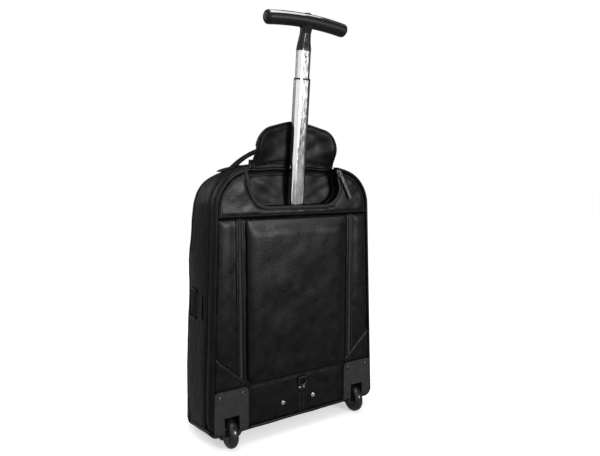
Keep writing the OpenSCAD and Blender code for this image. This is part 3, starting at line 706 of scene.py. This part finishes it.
def make_band():
    rings = []
    for w, rise in BAND_PROFILE:
        low = floor_z(w) + 7
        line = side_run(0, floor_z(w), 90.5, low, 200)
        end = smooth(line[:, 1], low, low + 24)
        p = at_depth(line, w)
        push = rise * end - 1.2 * (1 - end) + 0.25 * ripple(p, 45, 31) * end
        rings.append(at_depth(line + outward(line) * push[:, None], w))
    made = Build().add(*loft(rings)).mirrored().turned()
    made.piece("rear_band_leather", [LEATHER, LINING], "case", "leather", "rear_band", thick=2)
    line = side_run(-1.3, floor_z(-21), 91, floor_z(-21) + 14, 170)
    cord = Build().add(*sweep(at_depth(line, -21.6), oval(3.6, 3.6), BACKWARD)).mirrored()
    cord.piece("band_cord", TRIM_LEATHER, "case", "leather")


def zip_run(name, inset, w, width, low_z):
    """A zip round the case above low_z: a tape in its groove, with teeth."""
    path = upper(inset, floor_z(w), low_z, 420)
    tape = Build().add(*sweep(shell_ring(path, w, 0), oval(width, 1.2, 5), BACKWARD))
    tape.piece(name + "_tape", TAPE, "case", "zip_tape", name)
    line = shell_ring(path, w, 0.7)
    up = outward_w(every(line[:, [0, 2]], 1.5))
    Build().add(*teeth(line, up, 1.5)).piece(name + "_teeth", TEETH, "case", "steel")


def make_gusset():
    """The sides and the top. The edges turn in, and a seam runs 5 mm from each."""
    stations = np.concatenate([[GUSSET_W + 0.6, GUSSET_W - 0.4, GUSSET_W - 2],
                               np.linspace(GUSSET_W - 5, LID_W + 5, 18),
                               [LID_W + 2, LID_W + 0.6, LID_W + 0.1]])
    rings = []
    for w in stations:
        edge = min(GUSSET_W + 0.6 - w, w - LID_W)
        rise = 1.3 - 2.6 * bell(edge, 0, 1.6) - 0.6 * bell(edge, 5, 1.6)
        rings.append(shell_ring(upper(0, floor_z(w), floor_z(w) + 7, 400), w, rise))
    Build().add(*loft(rings)).turned().piece(
        "gusset_leather", [LEATHER, LINING], "case", "leather", "gusset", thick=3)


def front_rings(take, low_z, n):
    """Rings of the round front edge and the flat front, above or below low_z."""
    rings = []
    for a in np.radians(np.linspace(2, 90, 12)):
        w = FRONT_R - DEPTH - FRONT_R * math.sin(a)
        inset = front_inset(w)
        line = take(inset, floor_z(w), low_z, n, 12 - 6 * math.sin(a))
        rings.append(shell_ring(line, w, 0.3 * math.cos(a)))
    last = rings[-1]
    for k in np.linspace(0.97, 0.02, 34):
        ring = last.copy()
        ring[:, 0] *= k
        ring[:, 2] = low_z + (ring[:, 2] - low_z) * k
        wave = 0.5 * ripple(ring[:, [0, 2]], 70, 41) * smooth(k, 1, 0.9)
        ring[:, 1] = -DEPTH - 1.8 * smooth(k, 1.0, 0.7) + wave
        rings.append(ring)
    return rings


def make_base():
    """The bottom and the lower front edge, open where the wheel housings are."""
    rings = []
    for w in np.concatenate([[-1.0], np.linspace(-4, -106, 30)]):
        low = floor_z(w) + 12.5 + 36 * smooth(w, -96, -107)
        line = lower(0, floor_z(w), low, 160)
        rise = 2.0 + 0.3 * ripple(at_depth(line, w), 50, 51)
        rings.append(at_depth(line + outward(line) * rise[:, None], w))
    rings += front_rings(lower, LID_Z - 1.6, 160)
    points, faces = loft(rings, fill=True)
    mid = np.array([points[list(f)].mean(0) for f in faces])
    in_well = (np.abs(np.abs(mid[:, 0]) - WHEEL_X) < WELL_HALF) & (mid[:, 1] > WELL_FRONT_W)
    faces = [f for f, cut in zip(faces, in_well) if not cut]
    Build().add(points, faces).turned().piece(
        "base_leather", [LEATHER, LINING], "case", "leather", "base_tray", thick=3)


def make_lid():
    """The front lid. Its rim turns in beside the zip."""
    rings = []
    for w in (LID_RIM_W, LID_RIM_W - 0.2, LID_RIM_W - 0.9):
        rise = -2.0 + 2.2 * (LID_RIM_W - w) / 0.9
        line = upper(front_inset(w), floor_z(w), LID_Z, 400)
        rings.append(shell_ring(line, w, rise))
    rings += [r for r in front_rings(upper, LID_Z, 400) if r[0, 1] < -112]
    Build().add(*loft(rings, fill=True)).turned().piece(
        "lid_leather", [LEATHER, LINING], "lid", "leather", "front_lid", thick=3.5)


# The side of the outer pocket: how far it has drawn in, and how far it stands out there.
POCKET_PROFILE = [
    (-1.5, 0.4), (-0.6, 3), (0.2, 6.5), (1.6, 10), (4.5, 13.2), (9, 15.4), (15, 16.6),
]


def pocket_loop(inset):
    """The outline of the outer pocket, drawn in by inset."""
    r = max(34 - inset, 4)
    return resample(rounded_box(134 - inset, 76 + inset, 336 - inset, r, r), 300, True)


def pocket_fullness(z):
    """How full the outer pocket is at the height z: it sags towards the bottom."""
    return 0.86 + 0.16 * smooth(z, 320, 120)


def make_front_pocket():
    rings = []
    for inset, rise in POCKET_PROFILE:
        line = pocket_loop(inset)
        rings.append(at_depth(line, -DEPTH - rise * pocket_fullness(line[:, 1])))
    last, centre = rings[-1], np.array([0, 0, 200])
    for k in np.linspace(0.96, 0.02, 30):
        ring = centre + (last - centre) * k
        ring[:, 1] = -DEPTH - rise * pocket_fullness(ring[:, 2]) - 0.6 * smooth(k, 1, 0.6)
        ring[:, 1] += 0.4 * ripple(ring[:, [0, 2]], 60, 61)
        rings.append(ring)
    Build().add(*loft(rings, closed=True, fill=True)).piece(
        "pocket_leather_bag", [LEATHER, LINING], "lid", "leather", "front_pocket", thick=2)
    line = at_depth(pocket_loop(-1.0), -DEPTH - 1.6)
    Build().add(*sweep(line, oval(3.4, 3.4), BACKWARD, closed=True)).piece(
        "pocket_piping", TRIM_LEATHER, "lid", "leather")


def make_mouth_zip():
    top = 470.5
    line = every(mouth(2.0, top), 2.5)
    Build().add(*sweep(at_depth(line, 0.6), oval(5.2, 1.4, 5), outward_w(line))).piece(
        "mouth_zip_tape", TAPE, "case", "zip_tape", "mouth_zip")
    Build().add(*teeth(at_depth(mouth(1.4, top), 1.5), BACKWARD, 1.6)).piece(
        "mouth_zip_teeth", TEETH, "case", "steel")
    cord = Build()
    for grow, w, size in ((4.4, 1.2, 3.0), (-0.9, 0.2, 2.0)):
        line = every(mouth(grow, top - 1), 2.5)
        cord.add(*sweep(at_depth(line, w), oval(size, size), BACKWARD))
    cord.piece("mouth_binding", TRIM_LEATHER, "case", "leather")


def make_side_zips():
    """The zip strips beside the strap cover: a tape and teeth between two folds."""
    folds = Build()
    for x, width in ((107.2, 6.4), (116.6, 5.2)):
        line = every([[x, 0.9, patch_line(x) - 2], [x, 0.9, SEAM_Z - 1]], 5)
        line[:, 1] += 0.2 * ripple(line, 40, int(x))
        folds.add(*sweep(line, oval(width, 3.0, 2.6), ACROSS))
    line = every([[112.2, 1.0, patch_line(112) - 2], [112.2, 1.0, SEAM_Z - 1]], 5)
    tape = Build().add(*sweep(line, oval(5.6, 1.2, 5), ACROSS))
    coil = Build().add(*teeth(line + [0, 0.9, 0], BACKWARD, 1.6))
    tape.mirrored().piece("side_zip_tape", TAPE, "case", "zip_tape", "side_zips")
    coil.mirrored().piece("side_zip_teeth", TEETH, "case", "steel")
    folds.mirrored().piece("side_zip_folds", TRIM_LEATHER, "case", "leather")


def make_corner_patches():
    shape = np.array([[101.6, 104.6], [180, 104.6], [180, patch_line(180)],
                      [101.6, patch_line(101.6)]])
    xz, faces, d = patch([outline(4.6), shape], (), 2.5)
    w = 0.2 + 2.0 * domed(d, 4) + seam_dip(d, 4.2, 0.5, 1.0) + 0.2 * ripple(xz, 30, 71)
    Build().add(at_depth(xz, w), faces).mirrored().piece(
        "corner_patch_leather", LEATHER, "case", "leather", "corner_patches", thick=1.6)


def make_strap_cover():
    loop = rounded_box(COVER_HALF, COVER_Z0, COVER_Z1, 14, 3)
    xz, faces, d = patch([loop], (), 3.0)
    z = xz[:, 1]
    w = 2.9 + 4.3 * domed(d, 26) ** 1.2 * smooth(z, COVER_Z1, COVER_Z1 - 30)
    w += 0.9 * domed(d, 2.5) + seam_dip(d, 4.5, 0.55, 1.3)
    w += (0.7 * ripple(xz, 95, 81) + 0.12 * ripple(xz, 34, 82)) * smooth(d, 0, 20)
    w += 0.8 * smooth(z, COVER_Z0 + 40, COVER_Z0)
    cover = Build().add(at_depth(xz, w), faces).piece(
        "strap_cover_leather", [LEATHER, LINING], "cover", "leather", "strap_cover", thick=2.2)


def make_ring_strap():
    path = smoothed([
        (0.8, 33), (0.8, 60), (0.8, 85), (1.0, 92), (2.2, 97), (2.9, 100), (5, 101.2),
        (7.2, 100), (7.5, 98), (6.4, 95.4), (3.6, 92), (2.2, 88), (2.0, 82), (2.0, 71),
    ], 90)
    line = np.stack([np.full(len(path), -6.5), path[:, 0], path[:, 1]], 1)
    Build().add(*sweep(line, oval(13.5, 1.3, 5, 16), ACROSS)).piece(
        "ring_strap_leather", TRIM_LEATHER, "case", "leather", "ring_strap")


# ---- Handle pocket and flap ----


# The wall of the handle pocket: how far the mouth's outline has grown, and the depth there.
WALL_PROFILE = [
    (0.2, 0.2), (2.6, -1.8), (4.2, -6), (4.6, -13), (4.2, -20), (2.0, -24.5), (-2.5, -26.6),
]
# Creases of its back: two ends as [x, z], and the height.
CREASES = [
    ((-78, 450), (-30, 420), 1.5), ((-84, 430), (-40, 408), 0.9), ((70, 455), (30, 425), 0.8),
]
# The rolled seam under the flap, from below, as [w, z].
ROLLED_SEAM = [
    (-25.8, 458), (-25.2, 463), (-23.6, 466.6), (-21.2, 467.6), (-20.2, 469.4),
    (-21.3, 471.2), (-22.9, 472.4), (-22.6, 477), (-21.4, 482), (-20.3, 486),
]


def distance_to(points, a, b):
    """How far points lie from the straight line between a and b."""
    a, b = np.array(a), np.array(b)
    t = np.clip(((points - a) @ (b - a)) / ((b - a) @ (b - a)), 0, 1)
    return np.linalg.norm(points - (a + t[:, None] * (b - a)), axis=1)


def make_handle_pocket():
    rings = []
    for grow, w in WALL_PROFILE:
        p = at_depth(resample(mouth(grow, 469), 150), w)
        rings.append(p + (0.7 * ripple(p, 30, 91))[:, None] * [1, 0, 1])
    xz, faces, d = patch([mouth(-0.5, 474), outline(9)], (), 2.6)
    w = -26.4 + 2.2 * smooth(d, 14, 0)
    w += 0.8 * ripple(xz, 40, 92) * smooth(d, 0, 12)
    for start, end, height in CREASES:
        w += height * bell(distance_to(xz, start, end), 0, 8)
    Build().add(*loft(rings)).add(at_depth(xz, w), faces).piece(
        "handle_pocket_lining", POCKET, "case", "lining", "handle_pocket", thick=1)


def make_rolled_seam():
    fold = smoothed(ROLLED_SEAM, 34)
    rings = []
    for x in np.linspace(84, -83, 70):
        p = np.column_stack([np.full(len(fold), x), fold])
        p[:, 2] += 0.8 * ripple(p[:, :1] * [1, 0, 0] + [0, 5, 9], 45, 93) - (x / 62) ** 2
        p[:, 1] += 0.5 * ripple(p, 24, 94)
        rings.append(p)
    Build().add(*loft(rings)).piece("flap_base_lining", POCKET, "case", "lining", thick=0.8)


def flap_outline(inset=0.0):
    """The domed outline of the flap as a closed line of [x, s], s along the leaning flap."""
    r, s = 38 - inset, FLAP_HALF - 2 - inset
    top = FLAP_H - inset
    crown = [[x, top - x * x / 190] for x in (26, 13, 0, -13, -26)]
    return np.vstack([
        arc(s - r, top - r - 9, r, 6, 70, 14),
        crown,
        arc(r - s, top - r - 9, r, 110, 174, 14),
        [[inset - FLAP_HALF, -12 + inset], [-FLAP_HALF / 2, -4.5 + inset], [0, -2.5 + inset],
         [FLAP_HALF / 2, -4.5 + inset], [FLAP_HALF - inset, -12 + inset]],
    ])


def flap_curl(xs):
    """How far the flap's rim curls back at [x, s] in the flap's own frame."""
    x, s = xs.T
    rim = smooth(np.abs(x), 40, 86) + 0.35 * smooth(s, 34, 62) * smooth(np.abs(x), 18, 44)
    return 12.5 * rim * smooth(s, -10, 22)


def leaning(xs, y, start):
    """Points [x, s] with a height y off them, in a frame that leans as the pole does."""
    c, s = math.cos(LEAN), math.sin(LEAN)
    return start + np.stack([xs[:, 0], y * c + xs[:, 1] * s, -y * s + xs[:, 1] * c], 1)


def flap_points(xs, y):
    return leaning(xs, flap_curl(xs) + y, FLAP_AT)


def make_flap():
    xs, faces, d = patch([every(flap_outline(), 2, True)], (), 2.6)
    y = -2.4 + 1.6 * smooth(d, 7, 0) + 0.4 * ripple(xs, 40, 101) * smooth(d, 0, 8)
    Build().add(flap_points(xs, y), faces).turned().piece(
        "flap_leather", LEATHER, "flap", "leather", "handle_flap", thick=1.6)
    loop = flap_outline(2.2)
    loop[:, 0] *= 1 - 0.06 * smooth(loop[:, 0], 0, 60)
    xs, faces, d = patch([every(loop, 2, True)], (), 2.6)
    y = 0.4 + 0.9 * smooth(d, 0, 5) + 0.7 * ripple(xs, 36, 102) * smooth(d, 0, 10)
    Build().add(flap_points(xs, y), faces).piece(
        "flap_lining", POCKET, "flap", "lining", thick=0.8)
    edge = every(flap_outline(0.4)[:-3], 2)
    Build().add(*sweep(flap_points(edge, -0.2), oval(3.6, 3.6), BACKWARD)).piece(
        "flap_binding", TRIM_LEATHER, "flap", "leather")


# ---- Handles and tabs ----


def make_carry_handle():
    x = np.linspace(-97, 97, 90)
    z = 376.7 + np.sqrt(131.9**2 - x**2)
    path = at_depth(np.stack([x, z], 1), HANDLE_W)

    def section(k):
        full = smooth(abs(k - 0.5), 0.36, 0.2)
        return oval(24 - 3 * full, 5.4 + 2.6 * full, 3.2, 20)

    handle = Build().add(*sweep(path, section, BACKWARD)).piece(
        "carry_handle_leather", TRIM_LEATHER, "case", "leather", "top_handle")
    line = every(side_run(-1.9, floor_z(HANDLE_W), 79, 446, 12), 3)
    line = at_depth(line[line[:, 0] < 116], HANDLE_W)
    Build().add(*sweep(line, oval(30, 2.6, 6, 20), BACKWARD)).mirrored().piece(
        "handle_anchor_leather", TRIM_LEATHER, "case", "leather", "handle_anchors")


def side_points(p):
    """[x off the leather, y, z up the tab] in the frame of the left side tab, as [x, w, z]."""
    c, s = math.cos(TAPER), math.sin(TAPER)
    x, y, z = np.asarray(p, float).T
    return np.stack([half_w(TAB_Z) + x * c - z * s, TAB_W + y, TAB_Z + x * s + z * c], 1)


def make_side_tabs():
    """The tabs of the side rings. Each wraps its ring's back bar, and is wider where sewn."""
    path = smoothed([
        (0.7, 29), (0.8, 10), (1.3, 3), (2.4, -1.2), (4.2, -2.4), (6.0, -1.6), (6.6, 0.3),
        (5.6, 2.6), (3.6, 5), (2.7, 9), (2.5, 16), (2.4, 29),
    ], 60)
    line = side_points(np.stack([path[:, 0], path[:, 1], np.full(len(path), 25)], 1))
    widths = np.interp(path[:, 1], [-3, 4, 12, 30], [33, 34, 43, 44])

    def section(k):
        return oval(np.interp(k, np.linspace(0, 1, len(widths)), widths), 1.5, 6, 20)

    along = side_points([[0, 0, 1]]) - side_points([[0, 0, 0]])
    Build().add(*sweep(line, section, along[0])).mirrored().piece(
        "side_tab_leather", TRIM_LEATHER, "case", "leather", "left_side_tab", "right_side_tab")


# ---- Inside ----


def make_trolley_cover():
    """The lining board over the pole, with three stitched lines."""
    xs, faces, d = patch([rounded_box(146, -366, -14, 10, 10)], (), 5.0)
    y = -15 - 1.6 * smooth(d, 0, 10) + 0.3 * ripple(xs, 70, 111)
    for x in (-70, 0, 70):
        y += 0.9 * bell(xs[:, 0], x, 2.5)
    Build().add(leaning(xs, y, POLE_AT), faces).turned().piece(
        "trolley_cover_lining", LINING, "case", "lining", "trolley_cover", thick=2)


def make_pocket_zip():
    w, z, half = -DEPTH - 1.6, 374, 110
    line = every([[-half, w, z], [half, w, z]], 4)
    Build().add(*sweep(line, oval(1.4, 8, 5), BACKWARD)).piece(
        "pocket_zip_tape", TAPE, "lid", "zip_tape", "pocket_zip")
    Build().add(*teeth(line + [0, -0.9, 0], (0, -1, 0), 1.6)).piece(
        "pocket_zip_teeth", TEETH, "lid", "steel")
    folds = Build()
    for off in (-5.6, 5.6):
        folds.add(*sweep(line + [0, -0.1, off], oval(3.4, 5.0, 2.4), BACKWARD))
    folds.piece("pocket_zip_folds", TRIM_LEATHER, "lid", "leather")


# ---- Stitching ----


def make_stitching():
    made = Build()
    made.add(*stitches([[-150, 1.0, SEAM_Z + 4.0], [150, 1.0, SEAM_Z + 4.0]], BACKWARD))
    made.add(*stitches(at_depth(every(mouth(9.5, 468), 2), 1.9), BACKWARD))
    side = side_run(9.5, BASE_BACK_Z, 100, 186, 200)
    low = side_run(9.5, BASE_BACK_Z, 100, 392, 120)
    sides = Build()
    sides.add(*stitches(at_depth(low, 1.4), BACKWARD))
    sides.add(*stitches(at_depth(side[side[:, 1] < 384], 1.5), BACKWARD))
    for x in (105.2, 117.8):
        sides.add(*stitches([[x, 2.3, patch_line(x) + 2], [x, 2.3, SEAM_Z - 3]], BACKWARD))
    diagonal = [[x, 2.2, patch_line(x) - 4.5] for x in (104, 156)]
    sides.add(*stitches(diagonal, BACKWARD))
    sides.mirrored()
    made.add(np.vstack(sides.points), sides.faces)
    for w in (GUSSET_W - 5, LID_W + 5):
        ring = shell_ring(upper(0, floor_z(w), floor_z(w) + 16, 400), w, 0.5)
        made.add(*stitches(ring, outward_w(every(ring[:, [0, 2]], STITCH_PITCH))))
    for x in (-11.2, -1.8):
        made.add(*stitches([[x, 1.5, 36], [x, 1.5, 68]], BACKWARD, 3, 2))
    made.piece("case_stitching", THREAD, "case", "leather")

    loop = rounded_box(COVER_HALF - 4.5, COVER_Z0 + 4.5, COVER_Z1 - 5, 10, 2)
    loop = np.vstack([loop, loop[:1]])
    w = 4.4 + 0.8 * smooth(loop[:, 1], COVER_Z0 + 40, COVER_Z0)
    Build().add(*stitches(at_depth(loop, w), BACKWARD)).piece(
        "cover_stitching", THREAD, "cover", "leather")


# ---- Studio ----


# Lights: name, place, what it looks at, size and power.
LIGHTS = [
    ("key", (-0.5, 1.65, 0.62), (0.1, 0.09, 0.42), 0.4, 30),
    ("top", (0.4, 0.5, 2.4), (0, 0, 0.3), 1.0, 14),
    ("front", (1.5, -2.1, 1.5), (0, 0, 0.3), 1.4, 38),
]
# Standing cards: azimuth in degrees from the back towards the left side, distance and width.
CARDS = [(-31, 2.8, 2.6), (-80, 2.8, 2.8), (-130, 2.8, 2.6), (-171, 2.75, 2.3), (146, 2.2, 2.4)]
CARD_HEIGHT, CARD_GLOW = 5, 0.06
FLOOR_HALF, FLOOR_CARD_HALF, FLOOR_CARD_Z, FLOOR_CARD_GLOW = 30, 2.2, 0.001, 0.24


def square(half, z):
    """The corners of a level square about the middle."""
    return [(-half, -half, z), (half, -half, z), (half, half, z), (-half, half, z)]


def stage_plane(name, corners, mat):
    """A flat piece of the studio."""
    mesh = bpy.data.meshes.new(name)
    mesh.from_pydata(corners, [], [(0, 1, 2, 3)])
    mesh.materials.append(mat)
    plane = bpy.data.objects.new(name, mesh)
    bpy.context.scene.collection.objects.link(plane)
    return plane


def make_studio():
    """A pale floor that glows a little, a white surround and three soft lights."""
    mat, shader = new_material("floor", (0.5, 0.5, 0.5), 0.8, Specular_IOR_Level=0.0,
                               Emission_Color=(1, 1, 1, 1), Emission_Strength=0.5)
    vary(mat, shader, "Roughness", 0.75, 0.85, 3, object_coords(mat))
    stage_plane("floor", square(FLOOR_HALF, 0), mat)

    world = bpy.data.worlds.new("studio")
    world.use_nodes = True
    world.node_tree.nodes["Background"].inputs["Color"].default_value = (1, 1, 1, 1)
    world.node_tree.nodes["Background"].inputs["Strength"].default_value = 1.0
    bpy.context.scene.world = world

    for name, at, look, size, power in LIGHTS:
        light = bpy.data.lights.new(name, "AREA")
        light.size, light.energy = size, power
        obj = bpy.data.objects.new(name, light)
        obj.location = at
        obj.rotation_euler = (Vector(look) - Vector(at)).to_track_quat("-Z", "Y").to_euler()
        bpy.context.scene.collection.objects.link(obj)


def dark_card(corners, glow):
    """A dark card that only reflections see. It gives leather and metal their dark sides."""
    mat, _ = new_material("dark_card", (0, 0, 0), 1, Specular_IOR_Level=0.0,
                          Emission_Color=(1, 1, 1, 1), Emission_Strength=glow)
    card = stage_plane("dark_card", corners, mat)
    card.visible_camera = card.visible_diffuse = card.visible_shadow = False


def make_cards():
    """Cards that stand round the case, and one that lies on the floor."""
    for azimuth, distance, width in CARDS:
        away = Vector((math.sin(D(azimuth)), math.cos(D(azimuth)), 0)) * distance
        side = Vector((-away.y, away.x, 0)).normalized() * width / 2
        up = Vector((0, 0, CARD_HEIGHT))
        dark_card([away - side, away + side, away + side + up, away - side + up], CARD_GLOW)
    dark_card(square(FLOOR_CARD_HALF, FLOOR_CARD_Z), FLOOR_CARD_GLOW)


def make_camera():
    """The photo's viewpoint, found by fitting points of the back panel, pole and ground."""
    turn, dip = D(31.678), D(5.833)
    cam = bpy.data.cameras.new("camera")
    cam.lens, cam.sensor_width = 30.0, 36
    obj = bpy.data.objects.new("camera", cam)
    obj.location = (0.45239, BACK_Y * MM + 0.73942, 0.45545)
    aim = Vector((-math.sin(turn) * math.cos(dip), -math.cos(turn) * math.cos(dip),
                  -math.sin(dip)))
    obj.rotation_euler = aim.to_track_quat("-Z", "Y").to_euler()
    bpy.context.scene.collection.objects.link(obj)
    bpy.context.scene.camera = obj


make_back_panel()
make_yoke()
make_piping()
make_band()
zip_run("rear_zip", 3.2, REAR_ZIP_W, 6.0, floor_z(REAR_ZIP_W) + 8)
make_gusset()
zip_run("lid_zip", 2.6, LID_ZIP_W, 4.4, LID_Z + 1)
make_base()
make_lid()
make_front_pocket()
make_mouth_zip()
make_side_zips()
make_corner_patches()
make_strap_cover()
make_ring_strap()
make_handle_pocket()
make_rolled_seam()
make_flap()
make_carry_handle()
make_side_tabs()
make_trolley_cover()
make_pocket_zip()
make_stitching()
make_studio()
make_cards()
make_camera()
bpy.context.scene.view_settings.view_transform = "Standard"
